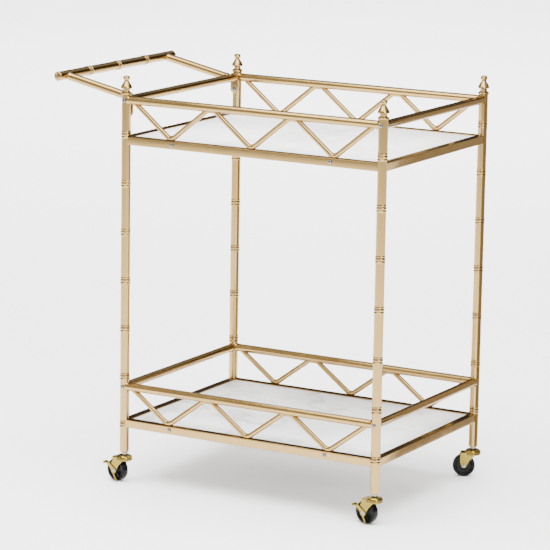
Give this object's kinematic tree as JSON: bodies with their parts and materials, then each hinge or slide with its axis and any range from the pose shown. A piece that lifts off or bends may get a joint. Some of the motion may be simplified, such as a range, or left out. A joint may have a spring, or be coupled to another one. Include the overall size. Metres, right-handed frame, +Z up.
{
  "type": "bar cart",
  "caption": "Two-tier rolling bar cart: bamboo-look gold posts, marble-look trays, zigzag galleries, a sloping end handle and swivel casters.",
  "frame": {"origin": "middle of the cart's overall footprint, on the floor", "axes": "+X along the cart away from the handle, +Y from front to back, +Z up"},
  "size_m": [0.7444, 0.4527, 0.8094],
  "materials": {
    "champagne_gold": "satin champagne gold plating on steel tube",
    "polished_brass": "bright yellow brass plating",
    "zinc_steel": "bright zinc plating",
    "white_marble": "polished white marble-look board with soft grey veins",
    "black_wheel": "glossy black nylon"
  },
  "bodies": {
    "cart": {"post_front_left": "champagne_gold", "finial_front_left": "champagne_gold", "post_front_right": "champagne_gold", "finial_front_right": "champagne_gold", "post_back_right": "champagne_gold", "finial_back_right": "champagne_gold", "post_back_left": "champagne_gold", "finial_back_left": "champagne_gold", "tray_frame_upper": "champagne_gold", "gallery_upper_front": "champagne_gold", "gallery_upper_back": "champagne_gold", "tray_frame_lower": "champagne_gold", "gallery_lower_front": "champagne_gold", "gallery_lower_back": "champagne_gold", "end_rail_upper_right": "champagne_gold", "end_rail_lower_left": "champagne_gold", "end_rail_lower_right": "champagne_gold", "handle_frame": "champagne_gold", "handle_grip": "champagne_gold", "grip_cap_front": "champagne_gold", "grip_cap_back": "champagne_gold", "marble_panel_upper": "white_marble", "marble_panel_lower": "white_marble", "caster_stem_front_left": "zinc_steel", "caster_stem_front_right": "zinc_steel", "caster_stem_back_right": "zinc_steel", "caster_stem_back_left": "zinc_steel", "post_screw_upper_front_left": "zinc_steel", "post_screw_lower_front_left": "zinc_steel", "post_screw_upper_front_right": "zinc_steel", "post_screw_lower_front_right": "zinc_steel", "post_screw_upper_back_right": "zinc_steel", "post_screw_lower_back_right": "zinc_steel", "post_screw_upper_back_left": "zinc_steel", "post_screw_lower_back_left": "zinc_steel", "tab_screw_front": "zinc_steel", "tab_screw_back": "zinc_steel", "frame_screw_upper_front_left": "zinc_steel", "frame_screw_upper_front_right": "zinc_steel", "frame_screw_upper_back_left": "zinc_steel", "frame_screw_upper_back_right": "zinc_steel", "frame_screw_lower_front_left": "zinc_steel", "frame_screw_lower_front_right": "zinc_steel", "frame_screw_lower_back_left": "zinc_steel", "frame_screw_lower_back_right": "zinc_steel"},
    "front_left_fork": {"caster_fork_front_left": "polished_brass", "caster_axle_front_left": "zinc_steel"},
    "front_left_wheel": {"caster_wheel_front_left": "black_wheel"},
    "front_left_brake": {"brake_lever_front_left": "polished_brass"},
    "front_right_fork": {"caster_fork_front_right": "polished_brass", "caster_axle_front_right": "zinc_steel"},
    "front_right_wheel": {"caster_wheel_front_right": "black_wheel"},
    "front_right_brake": {"brake_lever_front_right": "polished_brass"},
    "back_right_fork": {"caster_fork_back_right": "polished_brass", "caster_axle_back_right": "zinc_steel"},
    "back_right_wheel": {"caster_wheel_back_right": "black_wheel"},
    "back_left_fork": {"caster_fork_back_left": "polished_brass", "caster_axle_back_left": "zinc_steel"},
    "back_left_wheel": {"caster_wheel_back_left": "black_wheel"}
  },
  "joints": [
    {"name": "front_left_swivel", "type": "hinge", "parent": "cart", "child": "front_left_fork", "pos_m": [-0.20425, -0.21, 0.05], "axis": [0, 0, 1], "continuous": true},
    {"name": "front_left_wheel_spin", "type": "hinge", "parent": "front_left_fork", "child": "front_left_wheel", "pos_m": [-0.22148, -0.20696, 0.0225], "axis": [-0.1736, -0.9848, 0], "continuous": true},
    {"name": "front_left_brake_rocker", "type": "hinge", "parent": "front_left_fork", "child": "front_left_brake", "pos_m": [-0.22148, -0.20696, 0.0225], "axis": [-0.1736, -0.9848, 0], "range_deg": [0, 20]},
    {"name": "front_right_swivel", "type": "hinge", "parent": "cart", "child": "front_right_fork", "pos_m": [0.35575, -0.21, 0.05], "axis": [0, 0, 1], "continuous": true},
    {"name": "front_right_wheel_spin", "type": "hinge", "parent": "front_right_fork", "child": "front_right_wheel", "pos_m": [0.33852, -0.20696, 0.0225], "axis": [-0.1736, -0.9848, 0], "continuous": true},
    {"name": "front_right_brake_rocker", "type": "hinge", "parent": "front_right_fork", "child": "front_right_brake", "pos_m": [0.33852, -0.20696, 0.0225], "axis": [-0.1736, -0.9848, 0], "range_deg": [0, 20]},
    {"name": "back_right_swivel", "type": "hinge", "parent": "cart", "child": "back_right_fork", "pos_m": [0.35575, 0.21, 0.05], "axis": [0, 0, 1], "continuous": true},
    {"name": "back_right_wheel_spin", "type": "hinge", "parent": "back_right_fork", "child": "back_right_wheel", "pos_m": [0.34059, 0.20125, 0.0225], "axis": [0.5, -0.866, 0], "continuous": true},
    {"name": "back_left_swivel", "type": "hinge", "parent": "cart", "child": "back_left_fork", "pos_m": [-0.20425, 0.21, 0.05], "axis": [0, 0, 1], "continuous": true},
    {"name": "back_left_wheel_spin", "type": "hinge", "parent": "back_left_fork", "child": "back_left_wheel", "pos_m": [-0.22148, 0.20696, 0.0225], "axis": [0.1736, -0.9848, 0], "continuous": true}
  ]
}
